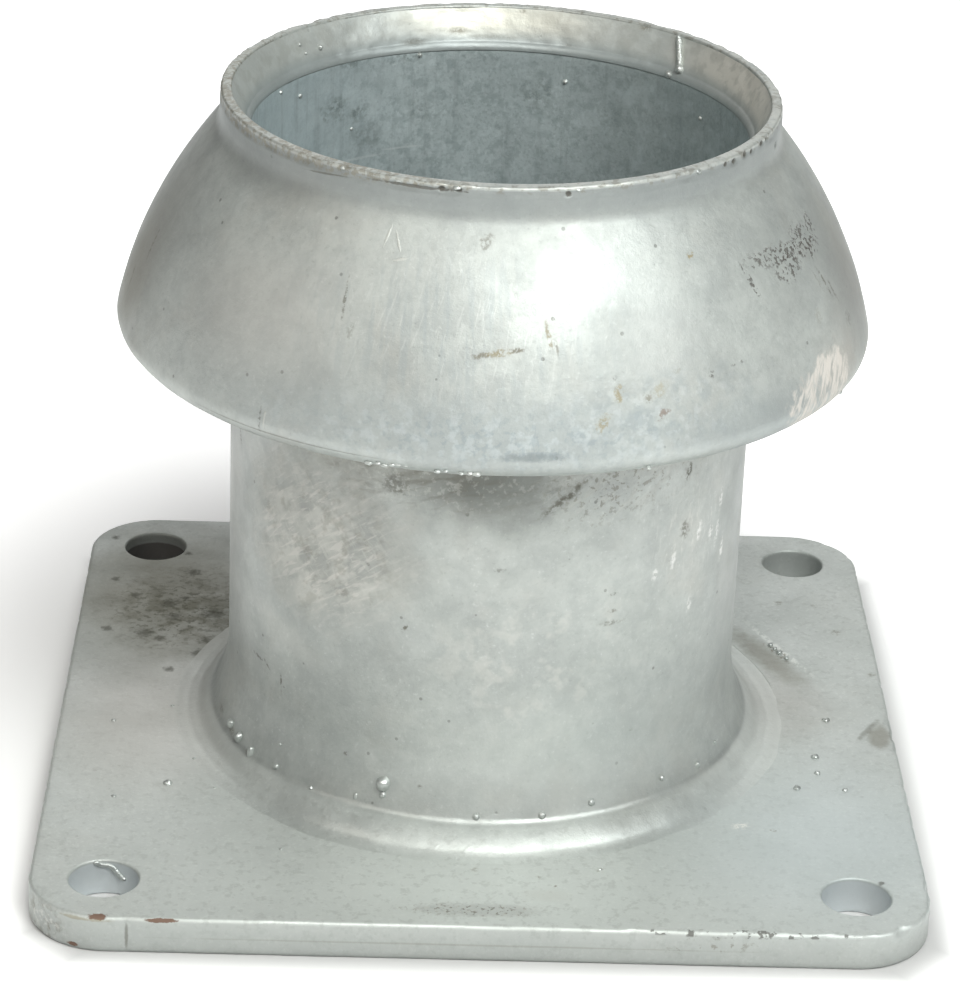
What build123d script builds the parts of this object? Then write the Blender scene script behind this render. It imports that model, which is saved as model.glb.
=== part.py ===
"""Flanged ball end of a lever-type quick pipe coupling, nominal size 108 mm, in hot-dip galvanised steel.

A tube stub is welded into a square flange plate. A pressed ball shell hangs round the tube's top end
like a skirt: the other half of the coupling grips it from outside, and its closing ring hooks in under
the shell's free edge. Origin: centre of the flange's underside. +Z runs up the tube. Millimetres.
"""

from build123d import *
from math import acos, asin, cos, degrees, sin, sqrt
import os

os.makedirs("parts", exist_ok=True)

# ---- driving dimensions -------------------------------------------------------------------------
TUBE_OD = 108.0  # nominal size of the coupling
TUBE_WALL = 3.6
TUBE_END_Z = 141.5  # the tube stops below the shell's lip, which leaves room for the rim weld
TUBE_SETBACK = 4.0  # the tube's foot stops this far above the flange's underside
TUBE_GAP = 0.4  # all round, between the tube and the hole in the flange

FLANGE_SIDE = 180.0
FLANGE_T = 8.0
FLANGE_CORNER_R = 16.0
BOLT_PITCH = 150.0
BOLT_HOLE_D = 14.0
FLANGE_TOP_ROUND = 0.8
FLANGE_UNDER_ROUND = 1.0

SHELL_T = 2.5
LIP_Z = 149.5  # top of the shell's neck, and of the whole part
NECK_R = 56.6  # outside of the neck
FLANK_R = 92.0  # the flank of the ball is one arc in section,
FLANK_CENTRE_R = -12.4  # struck from a point just past the axis,
FLANK_CENTRE_Z = 81.7  # and at this height
FLANK_END_Z = 102.9  # below this the free edge turns in
EDGE_CURL_R = 4.1  # outside of the turned-in edge
EDGE_CURL_END = 75.0  # degrees below level that the edge's outward normal has turned to at its end
NECK_CREASE_R = 5.0
LIP_OUTER_ROUND = 0.8
LIP_INNER_ROUND = 0.6
EDGE_END_ROUND = 0.8

FOOT_WELD_TOP_Z = 22.0  # upper toe, on the tube
FOOT_WELD_WAIST = (55.5, 17.2)  # distance from the axis and height, half way down the upper run
FOOT_WELD_CREST = (57.3, 12.4)  # the ridge where the two runs meet
FOOT_WELD_OUTER_R = 64.3  # outer toe, on the flange
FOOT_WELD_CROWN = 0.35  # swell of the lower run

RIM_WELD_TOE_R = 51.9  # inner toe, on the tube's end face
RIM_WELD_TOP_Z = 148.6
RIM_WELD_MIDDLE_R = 53.1  # half way up its face, a little hollow
ROOT_WELD_LEG = 3.4
ROOT_WELD_CROWN = 0.35

# ---- worked-out dimensions ----------------------------------------------------------------------
tube_r = TUBE_OD / 2
bore_r = tube_r - TUBE_WALL
flange_hole_r = tube_r + TUBE_GAP
neck_inner_r = NECK_R - SHELL_T
flank_end_turn = asin((FLANK_END_Z - FLANK_CENTRE_Z) / FLANK_R)  # slope of the flank's normal there
neck_foot_turn = acos((NECK_R - FLANK_CENTRE_R) / FLANK_R)


def on_flank(turn: float, depth: float) -> tuple[float, float]:
    """Point on the flank where its normal has this slope, at a depth below the outer surface."""
    arc_r = FLANK_R - depth
    return FLANK_CENTRE_R + arc_r * cos(turn), FLANK_CENTRE_Z + arc_r * sin(turn)


def neck_foot(neck_r: float, depth: float) -> tuple[float, float]:
    """Point where the flank, at a depth below its outer surface, reaches the neck's radius."""
    rise = sqrt((FLANK_R - depth) ** 2 - (neck_r - FLANK_CENTRE_R) ** 2)
    return neck_r, FLANK_CENTRE_Z + rise


# ---- square flange plate, bored for the tube and drilled for four bolts -------------------------
with BuildPart() as base_flange:
    with BuildSketch():
        RectangleRounded(FLANGE_SIDE, FLANGE_SIDE, FLANGE_CORNER_R)
        Circle(flange_hole_r, mode=Mode.SUBTRACT)
        with GridLocations(BOLT_PITCH, BOLT_PITCH, 2, 2):
            Circle(BOLT_HOLE_D / 2, mode=Mode.SUBTRACT)
    extrude(amount=FLANGE_T)
    top_outline = base_flange.faces().sort_by(Axis.Z)[-1].outer_wire().edges()
    fillet(top_outline, FLANGE_TOP_ROUND)
    under_outline = base_flange.faces().sort_by(Axis.Z)[0].outer_wire().edges()
    fillet(under_outline, FLANGE_UNDER_ROUND)
base_flange.part.label = "base_flange"

# ---- tube stub, standing in the flange's hole ---------------------------------------------------
with BuildPart() as pipe_stub:
    with BuildSketch(Plane.XY.offset(TUBE_SETBACK)):
        Circle(tube_r)
        Circle(bore_r, mode=Mode.SUBTRACT)
    extrude(amount=TUBE_END_Z - TUBE_SETBACK)
pipe_stub.part.label = "pipe_stub"

# ---- pressed ball shell: a neck round the tube's end, a flank, and a turned-in free edge --------
curl_turn = degrees(flank_end_turn) + EDGE_CURL_END
curl_start = (sin(flank_end_turn), -cos(flank_end_turn))  # down along the flank
middle_turn = (flank_end_turn + neck_foot_turn) / 2
with BuildPart() as ball_shell:
    with BuildSketch(Plane.XZ):
        with BuildLine():
            outer_foot = neck_foot(NECK_R, 0)
            inner_foot = neck_foot(neck_inner_r, SHELL_T)
            outer_end = on_flank(flank_end_turn, 0)
            inner_end = on_flank(flank_end_turn, SHELL_T)
            lip = Line((neck_inner_r, LIP_Z), (NECK_R, LIP_Z))
            Line(lip @ 1, outer_foot)
            ThreePointArc(outer_foot, on_flank(middle_turn, 0), outer_end)
            outer_curl = JernArc(outer_end, curl_start, EDGE_CURL_R, -curl_turn)
            inner_curl = JernArc(inner_end, curl_start, EDGE_CURL_R - SHELL_T, -curl_turn)
            Line(outer_curl @ 1, inner_curl @ 1)
            ThreePointArc(inner_end, on_flank(middle_turn, SHELL_T), inner_foot)
            Line(inner_foot, lip @ 0)
        make_face()
    revolve(axis=Axis.Z)
    rings = ball_shell.edges().filter_by(GeomType.CIRCLE)
    crease = rings.filter_by_position(Axis.Z, outer_foot[1] - 0.01, outer_foot[1] + 0.01)
    fillet(crease, NECK_CREASE_R)
    top_rings = ball_shell.edges().filter_by(GeomType.CIRCLE).group_by(Axis.Z)[-1]
    fillet(top_rings.sort_by(SortBy.RADIUS)[-1], LIP_OUTER_ROUND)
    top_rings = ball_shell.edges().filter_by(GeomType.CIRCLE).group_by(Axis.Z)[-1]
    fillet(top_rings.sort_by(SortBy.RADIUS)[0], LIP_INNER_ROUND)
    end_rings = ball_shell.edges().filter_by(GeomType.CIRCLE).group_by(Axis.Z)[0]
    fillet(end_rings.sort_by(SortBy.RADIUS)[0], EDGE_END_ROUND)
ball_shell.part.label = "ball_shell"

# ---- rim weld: fills the corner between the tube's end face and the inside of the neck ----------
with BuildPart() as rim_weld:
    with BuildSketch(Plane.XZ):
        with BuildLine():
            toe = (RIM_WELD_TOE_R, TUBE_END_Z)
            heel = (neck_inner_r, TUBE_END_Z)
            top = (neck_inner_r, RIM_WELD_TOP_Z)
            Line(toe, heel)
            Line(heel, top)
            ThreePointArc(top, (RIM_WELD_MIDDLE_R, (TUBE_END_Z + RIM_WELD_TOP_Z) / 2), toe)
        make_face()
    revolve(axis=Axis.Z)
rim_weld.part.label = "rim_weld"

# ---- foot weld: two runs round the tube on the flange's top face --------------------------------
with BuildPart() as foot_weld:
    with BuildSketch(Plane.XZ):
        with BuildLine():
            heel = (tube_r, FLANGE_T)
            upper_toe = (tube_r, FOOT_WELD_TOP_Z)
            outer_toe = (FOOT_WELD_OUTER_R, FLANGE_T)
            Line(heel, upper_toe)
            Spline(upper_toe, FOOT_WELD_WAIST, FOOT_WELD_CREST, tangents=[(0, -1), (0.2, -1)])
            SagittaArc(FOOT_WELD_CREST, outer_toe, FOOT_WELD_CROWN)
            Line(outer_toe, heel)
        make_face()
    revolve(axis=Axis.Z)
foot_weld.part.label = "foot_weld"

# ---- root weld: seals the tube's foot to the flange's hole, clear of the underside --------------
with BuildPart() as root_weld:
    with BuildSketch(Plane.XZ):
        with BuildLine():
            corner = (flange_hole_r, TUBE_SETBACK)
            inner_toe = (flange_hole_r - ROOT_WELD_LEG, TUBE_SETBACK)
            lower_toe = (flange_hole_r, TUBE_SETBACK - ROOT_WELD_LEG)
            Line(corner, inner_toe)
            SagittaArc(inner_toe, lower_toe, -ROOT_WELD_CROWN)
            Line(lower_toe, corner)
        make_face()
    revolve(axis=Axis.Z)
root_weld.part.label = "root_weld"

export_step(base_flange.part, "parts/base_flange.step")
export_step(pipe_stub.part, "parts/pipe_stub.step")
export_step(ball_shell.part, "parts/ball_shell.step")
export_step(rim_weld.part, "parts/rim_weld.step")
export_step(foot_weld.part, "parts/foot_weld.step")
export_step(root_weld.part, "parts/root_weld.step")
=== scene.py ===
"""Looks of a flanged ball end of a quick pipe coupling, in hot-dip galvanised steel.

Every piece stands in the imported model's frame. Lengths here are in millimetres and become metres
when a mesh is made. "Front" is the side that faces -Y, and a bearing is an angle in degrees round
the Z axis from the front, positive towards +X. Colours are linear red, green and blue.
"""

import math
import random

import bmesh
import bpy
import numpy as np
from mathutils import Matrix, Vector, geometry, noise


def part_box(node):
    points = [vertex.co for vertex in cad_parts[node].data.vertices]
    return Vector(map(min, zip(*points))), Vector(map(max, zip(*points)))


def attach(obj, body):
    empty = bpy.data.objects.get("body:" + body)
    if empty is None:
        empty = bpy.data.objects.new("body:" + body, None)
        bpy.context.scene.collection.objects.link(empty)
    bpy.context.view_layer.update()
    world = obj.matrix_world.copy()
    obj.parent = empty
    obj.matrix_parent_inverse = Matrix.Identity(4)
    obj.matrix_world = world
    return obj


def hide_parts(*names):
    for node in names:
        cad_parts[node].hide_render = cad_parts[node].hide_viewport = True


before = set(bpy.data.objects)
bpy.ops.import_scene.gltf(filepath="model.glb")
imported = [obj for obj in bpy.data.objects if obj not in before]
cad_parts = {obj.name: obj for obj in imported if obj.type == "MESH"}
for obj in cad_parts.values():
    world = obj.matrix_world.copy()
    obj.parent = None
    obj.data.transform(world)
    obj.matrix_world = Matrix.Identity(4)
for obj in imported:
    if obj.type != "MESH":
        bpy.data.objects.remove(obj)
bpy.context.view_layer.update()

MM = 0.001


# ---- sizes, read from the frame ----
def corners(node):
    """Lowest and highest corner of a CAD node, in mm."""
    low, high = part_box(node)
    return low / MM, high / MM


plate_low, plate_high = corners("base_flange")
tube_low, tube_high = corners("pipe_stub")
shell_low, shell_high = corners("ball_shell")
rim_low, rim_high = corners("rim_weld")
foot_low, foot_high = corners("foot_weld")
root_low, root_high = corners("root_weld")

PLATE_HALF = plate_high.x
PLATE_TOP = plate_high.z
TUBE_R = tube_high.x
TUBE_FOOT = tube_low.z
TUBE_END = tube_high.z
LIP_Z = shell_high.z

# ---- sizes that the boxes don't give ----
BORE_R = 50.4
PLATE_HOLE_R = 54.4
PLATE_CORNER_R = 16.0
BOLT_REACH = 75.0  # from the centre lines to a bolt hole
BOLT_R = 7.0
SHELL_T = 2.5
NECK_R = 56.6
FLANK_R = 92.0
FLANK_CENTRE = (-12.4, 81.7)
FLANK_END_Z = 102.9
CURL_R = 4.1
CURL_END = -75.0
CREASE_R = 5.0
LIP_ROUND = 0.8  # outer edge of the lip
EDGE_ROUND = 0.6  # inner edges of the lip and of the tube's end
RIM_TOE_R = 51.9
FOOT_CREST = (57.3, 12.4)
FOOT_FEATHER_Z = 27.0  # the zinc thins out to nothing this high up the tube
FOOT_SPREAD = 2.2  # how far its lower run thins out past the CAD's toe
FOOT_RUN_R = 61.2  # middle of its lower run
SUNK = 0.4  # how far a weld's hidden sides reach into its neighbours, so that no gap shows


# ---- outlines: closed loops of (distance from the axis, height), counter-clockwise ----
def arc(centre, radius, start, end, step):
    """Points along an arc between two angles in degrees, no further apart than step."""
    count = max(2, math.ceil(abs(math.radians(end - start)) * radius / step)) + 1
    turns = np.radians(np.linspace(start, end, count))
    return np.stack([centre[0] + radius * np.cos(turns), centre[1] + radius * np.sin(turns)], 1)


def polar(centre, radius, angle):
    """The point this far from a centre, at an angle in degrees."""
    turn = math.radians(angle)
    return centre[0] + radius * math.cos(turn), centre[1] + radius * math.sin(turn)


def run(start, end, step):
    """Points along a straight run, ends included."""
    count = max(1, math.ceil(math.dist(start, end) / step)) + 1
    return np.linspace(start, end, count)


def bend(start, middle, end, step):
    """Points along a smooth curve from start to end that passes through middle."""
    t = np.linspace(0, 1, max(3, math.ceil(math.dist(start, end) / step)) + 1)[:, None]
    start, middle, end = (np.array(p, float) for p in (start, middle, end))
    pull = 2 * middle - (start + end) / 2
    return (1 - t) ** 2 * start + 2 * t * (1 - t) * pull + t * t * end


def loop(*stretches):
    """Joins stretches into one closed loop, dropping the points where they meet."""
    points = [stretches[0][0]]
    for point in np.concatenate(stretches):
        if math.dist(point, points[-1]) > 0.02:
            points.append(point)
    if math.dist(points[0], points[-1]) < 0.02:
        points.pop()
    return np.array(points)


def tube_outline():
    """The tube's wall, its upper inner edge rounded by the zinc."""
    out, edge = TUBE_R, EDGE_ROUND
    return loop(
        run((BORE_R, TUBE_FOOT), (out, TUBE_FOOT), 1.2),
        run((out, TUBE_FOOT), (out, TUBE_END), 1.3),
        run((out, TUBE_END), (BORE_R + edge, TUBE_END), 0.5),
        arc((BORE_R + edge, TUBE_END - edge), edge, 90, 180, 0.3),
        run((BORE_R, TUBE_END - edge), (BORE_R, TUBE_FOOT), 2.0),
    )


def shell_outline():
    """Neck, crease, flank and turned-in edge; inside, the same a wall's thickness in."""
    crease_x = NECK_R + CREASE_R
    rise = math.sqrt((FLANK_R + CREASE_R) ** 2 - (crease_x - FLANK_CENTRE[0]) ** 2)
    crease_z = FLANK_CENTRE[1] + rise
    crease_turn = math.degrees(math.atan2(rise, crease_x - FLANK_CENTRE[0]))
    end_turn = math.degrees(math.asin((FLANK_END_Z - FLANK_CENTRE[1]) / FLANK_R))
    curl_centre = polar(FLANK_CENTRE, FLANK_R - CURL_R, end_turn)
    edge_centre = polar(curl_centre, CURL_R - SHELL_T / 2, CURL_END)
    inner_neck = NECK_R - SHELL_T
    inner_r = FLANK_R - SHELL_T
    inner_turn = math.degrees(math.acos((inner_neck - FLANK_CENTRE[0]) / inner_r))
    inner_foot = polar(FLANK_CENTRE, inner_r, inner_turn)[1]
    outside = loop(
        arc(curl_centre, CURL_R, CURL_END, end_turn, 0.5),
        arc(FLANK_CENTRE, FLANK_R, end_turn, crease_turn, 0.8),
        arc((crease_x, crease_z), CREASE_R, 180 + crease_turn, 180, 0.5),
        run((NECK_R, crease_z), (NECK_R, LIP_Z - LIP_ROUND), 0.35),
        arc((NECK_R - LIP_ROUND, LIP_Z - LIP_ROUND), LIP_ROUND, 0, 90, 0.2),
        arc((inner_neck + EDGE_ROUND, LIP_Z - EDGE_ROUND), EDGE_ROUND, 90, 180, 0.2),
    )
    inside = loop(
        run((inner_neck, LIP_Z - LIP_ROUND), (inner_neck, inner_foot), 1.0),
        arc(FLANK_CENTRE, inner_r, inner_turn, end_turn, 1.8),
        arc(curl_centre, CURL_R - SHELL_T, end_turn, CURL_END, 0.5),
        arc(edge_centre, SHELL_T / 2, 180 + CURL_END, 340 + CURL_END, 0.5),
    )
    return np.concatenate([outside, inside])


def rim_outline():
    """A hollow weld, carried by the zinc from the bore's edge up to the neck's lip."""
    heel_r, low, high = rim_high.x + SUNK, rim_low.z - SUNK, rim_high.z + 0.6
    toe, heel, top = (BORE_R - 0.05, low - 0.6), (heel_r, low - 0.6), (heel_r - 0.1, high)
    foot = (BORE_R + 0.75, rim_low.z + 0.9)
    return loop(
        run(toe, heel, 0.8),
        run(heel, top, 1.2),
        bend(top, (RIM_TOE_R + 0.75, (rim_low.z + rim_high.z) / 2 + 0.9), foot, 0.3),
        bend(foot, (BORE_R + 0.12, low + 0.5), toe, 0.2),
    )


def foot_flare(height):
    """How far the foot weld's upper run stands out from the tube: nothing at its feathered top."""
    share = np.clip((FOOT_FEATHER_Z - height) / (FOOT_FEATHER_Z - FOOT_CREST[1]), 0, 1)
    return (FOOT_CREST[0] - TUBE_R) * share**2


def foot_outline():
    """Two runs of weld: one flares from the tube, and a crowned one lies over the plate."""
    inner_r, low = TUBE_R - SUNK, foot_low.z - SUNK
    crest_r, crest_z = FOOT_CREST
    outer_toe = (foot_high.x + FOOT_SPREAD, foot_low.z - 0.12)
    shoulder = (foot_high.x - 1.1, foot_low.z + 1.1)
    below_crest = (crest_r + 0.9, crest_z - 0.32)
    above_crest = (crest_r - 0.35, crest_z + 0.8)
    heights = np.linspace(above_crest[1] + 0.3, foot_high.z + 0.5, 24)
    sinking = 0.06 * (1 - below(heights, foot_high.z, 8.0))
    sinking += 0.5 * (1 - below(heights, foot_high.z + 0.5, 2.0))
    upper = np.stack([TUBE_R + foot_flare(heights) - sinking, heights], 1)
    return loop(
        run((inner_r, low), (outer_toe[0], low), 2.0),
        bend(outer_toe, (foot_high.x + 0.4, foot_low.z + 0.23), shoulder, 0.4),
        bend(shoulder, (crest_r + 3.6, crest_z - 1.5), below_crest, 0.4),
        bend(below_crest, (crest_r + 0.15, crest_z + 0.1), above_crest, 0.2),
        upper,
        run(upper[-1], (inner_r, low), 2.0),
    )


def root_outline():
    """The small weld under the tube's foot, inside the plate's hole."""
    out, top, low = root_high.x, root_high.z, root_low.z
    leg = top - low
    face = bend((out - leg, top), (out - leg / 2 - 0.25, low + leg / 2 - 0.25), (out, low), 0.4)
    return loop(face, run((out, low), (out, top), 1.2), run((out, top), (out - leg, top), 1.2))


# ---- meshes ----
def uneven(places, size, octaves=2, seed=0):
    """Smooth noise at each place, from about -1 to 1, with swellings about size mm across."""
    shift = Vector((seed * 3.1, seed * 7.3, seed * 1.7))
    return np.array([noise.fractal(Vector(p) / size + shift, 1.0, 2.0, octaves) for p in places])


def bearing_of(places):
    return np.degrees(np.arctan2(places[:, 0], -places[:, 1]))


def between(value, low, high, blur):
    """1 where value lies between low and high, falling to 0 over blur on each side."""
    rise = np.clip((value - low) / blur + 1, 0, 1)
    fall = np.clip((high - value) / blur + 1, 0, 1)
    return rise * fall


def below(height, top, blur):
    """0 above top, rising to 1 over blur below it."""
    return np.clip((top - height) / blur, 0, 1)


def placed(name, data):
    """A new object in the scene that shows this data."""
    made = bpy.data.objects.new(name, data)
    bpy.context.scene.collection.objects.link(made)
    return made


def piece(name, vertices, faces, finish, slot, node=None):
    """A smooth-shaded piece of the object, from vertices in mm, that rides with the root body."""
    mesh = bpy.data.meshes.new(name)
    mesh.from_pydata((np.array(vertices) * MM).tolist(), [], faces)
    mesh.shade_smooth()
    mesh.materials.append(finish)
    made = placed(name, mesh)
    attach(made, "root")
    if node:
        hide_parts(node)
    return made


def neighbours(count):
    """Each point of a closed loop, paired with the next."""
    return [(k, (k + 1) % count) for k in range(count)]


def lathe(outline, turns, relief):
    """Vertices and faces of an outline swept round Z and moved along its normals by relief."""
    ahead = np.roll(outline, -1, 0) - np.roll(outline, 1, 0)
    ahead /= np.linalg.norm(ahead, axis=1)[:, None]
    normal_r, normal_z = ahead[:, 1], -ahead[:, 0]
    count = len(outline)
    angles = np.repeat(np.arange(turns) * 2 * math.pi / turns, count)
    radius, height = np.tile(outline[:, 0], turns), np.tile(outline[:, 1], turns)
    places = np.stack([radius * np.sin(angles), -radius * np.cos(angles), height], 1)
    out, up = np.tile(normal_r, turns), np.tile(normal_z, turns)
    normals = np.stack([out * np.sin(angles), -out * np.cos(angles), up], 1)
    places = places + normals * relief(places, normals)[:, None]
    faces = []
    for turn, following in neighbours(turns):
        here, there = turn * count, following * count
        faces += [(here + a, there + a, there + b, here + b) for a, b in neighbours(count)]
    return places, faces


def tube_waviness(places):
    """Shared by the tube and the top of the foot weld, so that they meet all round."""
    return 0.10 * uneven(places, 30, seed=1) + 0.03 * uneven(places, 7, seed=2) - 0.03


def tube_relief(places, normals):
    """A rolled tube's slight waviness; its outside swells to meet the foot weld's upper run."""
    height = places[:, 2]
    outer = np.hypot(places[:, 0], places[:, 1]) > (BORE_R + TUBE_R) / 2
    outside = np.hypot(normals[:, 0], normals[:, 1]) * outer
    crossing = FOOT_CREST[1] + 5.6
    sunk = 0.12 * below(height, foot_high.z, 10.0) + 0.5 * below(height, crossing, 4.0)
    swollen = 1 - below(height, crossing - 2.0, 4.0)
    return tube_waviness(places) + outside * swollen * (foot_flare(height) - sunk)


def shell_relief(places, normals):
    """Pressing dents, zinc waviness, and an uneven lip with pits along its outer edge."""
    bearing, height = bearing_of(places), places[:, 2]
    radius = np.hypot(places[:, 0], places[:, 1])
    shift = 0.16 * uneven(places, 32, seed=3) + 0.05 * uneven(places, 9, seed=4)
    shift += 0.018 * uneven(places, 3, seed=5)
    lip = between(height, LIP_Z - 1.6, LIP_Z + 1, 1.0)
    outer = between(radius, NECK_R - 0.9, NECK_R + 1, 0.4)
    worn = np.abs(uneven(places, 5, 3, seed=6))
    shift = shift * (1 - lip) - lip * (0.10 + 0.45 * worn * outer)
    groove = lip * between(radius, 55.15, 55.55, 0.3) * between(bearing, -125, -30, 12)
    shift -= 0.3 * groove
    for at in LIP_PITS:
        away = np.hypot((bearing - at[0]) * math.radians(NECK_R), height - at[1])
        shift -= 0.7 * np.clip(1 - away / at[2], 0, 1) * outer
    return shift


def rim_relief(places, normals):
    """Weld ripples under zinc: soft swellings along the run, none at its feathered edges."""
    swell = 0.20 * uneven(places, 8, seed=7) + 0.10 * uneven(places, 2.8, seed=8) - 0.06
    return swell * between(places[:, 2], rim_low.z + 1.0, rim_high.z - 0.6, 1.2)


def foot_relief(places, normals):
    """The tube's waviness at the top; lower down soft swellings and faint ripples along the run.

    Away from the front the middle of the lower run lies lower.
    """
    height = places[:, 2]
    arc_length = bearing_of(places) * math.radians(FOOT_CREST[0])
    ripples = 0.012 * np.sin(2 * math.pi * (arc_length + 2.5 * uneven(places, 9, seed=9)) / 3.1)
    swell = 0.22 * uneven(places, 16, seed=10) + 0.05 * uneven(places, 4, seed=11)
    lower = between(height, 0, FOOT_CREST[1] + 1, 4.0)
    out = np.hypot(places[:, 0], places[:, 1])
    beside = 1 - between(bearing_of(places), -30, 38, 30)
    swell -= (0.12 + 1.45 * beside) * np.exp(-((out - FOOT_RUN_R) / 2.6) ** 2)
    toe = 1 - 0.8 * below(height, foot_low.z + 1.2, 1.2)
    shown = height > foot_low.z - 0.2
    return ((swell + ripples) * lower * toe + tube_waviness(places) * (1 - lower)) * shown


def root_relief(places, normals):
    """Ripples that stay inside the weld's own section."""
    return -0.15 + 0.12 * uneven(places, 5, seed=12)


# ---- the plate ----
def plate_outline(inset, step=1.0):
    """The plate's rounded square, drawn in by inset; the same number of points for any inset."""
    points = []
    reach = PLATE_HALF - PLATE_CORNER_R
    radius = PLATE_CORNER_R - inset
    turns = math.ceil(math.pi / 2 * PLATE_CORNER_R / step)
    sides = math.ceil(2 * reach / step)
    bow_step = math.pi / 2 * radius / turns * 1.0001  # a hair long, so that rounding adds no point
    for start in (0, 90, 180, 270):
        centre = np.sign(polar((0, 0), 1, start + 45)) * reach
        bow = arc(centre, radius, start, start + 90, bow_step)
        side = np.array(polar((0, 0), 1, start + 180))
        points.append(bow)
        points.append(bow[-1] + side * (2 * reach) * (np.arange(1, sides) / sides)[:, None])
    return np.concatenate(points)


def ring(centre, radius, count):
    """Points all round a circle."""
    turns = np.arange(count) * 2 * math.pi / count
    return np.stack([centre[0] + radius * np.cos(turns), centre[1] + radius * np.sin(turns)], 1)


INSIDE_CONSTRAINTS = 1  # the triangulation's output: triangles inside the outline
BOLT_CENTRES = [(x, y) for x in (-BOLT_REACH, BOLT_REACH) for y in (-BOLT_REACH, BOLT_REACH)]
HOLE_POINTS, BOLT_POINTS = 320, 64  # round the edge of the tube's hole and of a bolt hole
EDGE_LINE_Z = 3.7  # a faint line along the front edge
EDGE_NOTCH_X = -69.4  # a notch across it


def plate_face(inset, widen, spacing, height):
    """Vertices and triangles over the plate between its outline and its holes, facing up."""
    loops = [plate_outline(inset), ring((0, 0), PLATE_HOLE_R, HOLE_POINTS)]
    loops += [ring(centre, BOLT_R + widen, BOLT_POINTS) for centre in BOLT_CENTRES]
    points = [Vector(p) for one in loops for p in one]
    edges, first = [], 0
    for one in loops:
        edges += [(first + a, first + b) for a, b in neighbours(len(one))]
        first += len(one)
    steps = np.arange(-PLATE_HALF + spacing, PLATE_HALF, spacing)
    for row, y in enumerate(steps):
        for x in steps + (row % 2) * spacing / 2:
            if on_plate(x, y, inset + spacing * 0.6, widen + spacing * 0.6):
                points.append(Vector((x, y)))
    made = geometry.delaunay_2d_cdt(points, edges, [], INSIDE_CONSTRAINTS, 1e-5)
    flat = np.array([tuple(p) for p in made[0]])
    middles = [flat[list(face)].mean(0) for face in made[2]]
    faces = [tuple(f) for f, m in zip(made[2], middles) if on_plate(*m, inset, widen - 0.02)]
    return np.column_stack([flat, np.full(len(flat), height)]), faces


def on_plate(x, y, inset, widen):
    """True for a point on the plate, this far in from its outline and clear of its holes."""
    reach = PLATE_HALF - PLATE_CORNER_R
    past = math.hypot(max(abs(x) - reach, 0), max(abs(y) - reach, 0))
    if past > PLATE_CORNER_R - inset or math.hypot(x, y) < PLATE_HOLE_R + widen:
        return False
    return all(math.dist((x, y), centre) > BOLT_R + widen for centre in BOLT_CENTRES)


def wall(levels):
    """Vertices and quads through a stack of loops, each (points, height), going up."""
    vertices, faces = [], []
    count = len(levels[0][0])
    for points, height in levels:
        vertices.append(np.column_stack([points, np.full(count, height)]))
    for level in range(len(levels) - 1):
        here, above = level * count, (level + 1) * count
        faces += [(here + a, here + b, above + b, above + a) for a, b in neighbours(count)]
    return np.concatenate(vertices), faces


def rounded_levels(make_loop, low, high, under_round, top_round, rows):
    """Loops for a wall with rounded edges; make_loop takes the distance drawn in from the wall."""
    levels = []
    for turn in np.radians(np.linspace(-90, 0, 4)):
        drawn = under_round * (1 - math.cos(turn))
        levels.append((make_loop(drawn), low + under_round * (1 + math.sin(turn))))
    for height in np.linspace(low + under_round, high - top_round, rows)[1:-1]:
        levels.append((make_loop(0), height))
    for turn in np.radians(np.linspace(0, 90, 5)):
        drawn = top_round * (1 - math.cos(turn))
        levels.append((make_loop(drawn), high - top_round + top_round * math.sin(turn)))
    return levels


def turned_over(sheet):
    """The same vertices, with faces that look the other way."""
    vertices, faces = sheet
    return vertices, [face[::-1] for face in faces]


def plate_parts():
    """The plate as loose sheets that share their border points: two faces and all the walls."""
    top_round, under_round, hole_round = 0.8, 1.0, 0.5
    low, high = plate_low.z, plate_high.z
    yield plate_face(top_round, hole_round, 1.0, high)
    yield turned_over(plate_face(under_round, hole_round, 3.5, low))
    yield wall(rounded_levels(plate_outline, low, high, under_round, top_round, 9))
    tube_hole = ring((0, 0), PLATE_HOLE_R, HOLE_POINTS)
    yield turned_over(wall([(tube_hole, z) for z in np.linspace(low, high, 6)]))
    for centre in BOLT_CENTRES:
        def bolt_loop(drawn, at=centre):
            return ring(at, BOLT_R + drawn, BOLT_POINTS)
        yield turned_over(wall(rounded_levels(bolt_loop, low, high, hole_round, hole_round, 8)))


def off_line(places, start, end):
    """How far each place is to the left of a line, and its share of the way along it."""
    start, along = np.array(start), np.subtract(end, start)
    length = math.hypot(*along)
    along = along / length
    from_start = places[:, :2] - start
    left = along[0] * from_start[:, 1] - along[1] * from_start[:, 0]
    return left, (from_start @ along) / length


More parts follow.
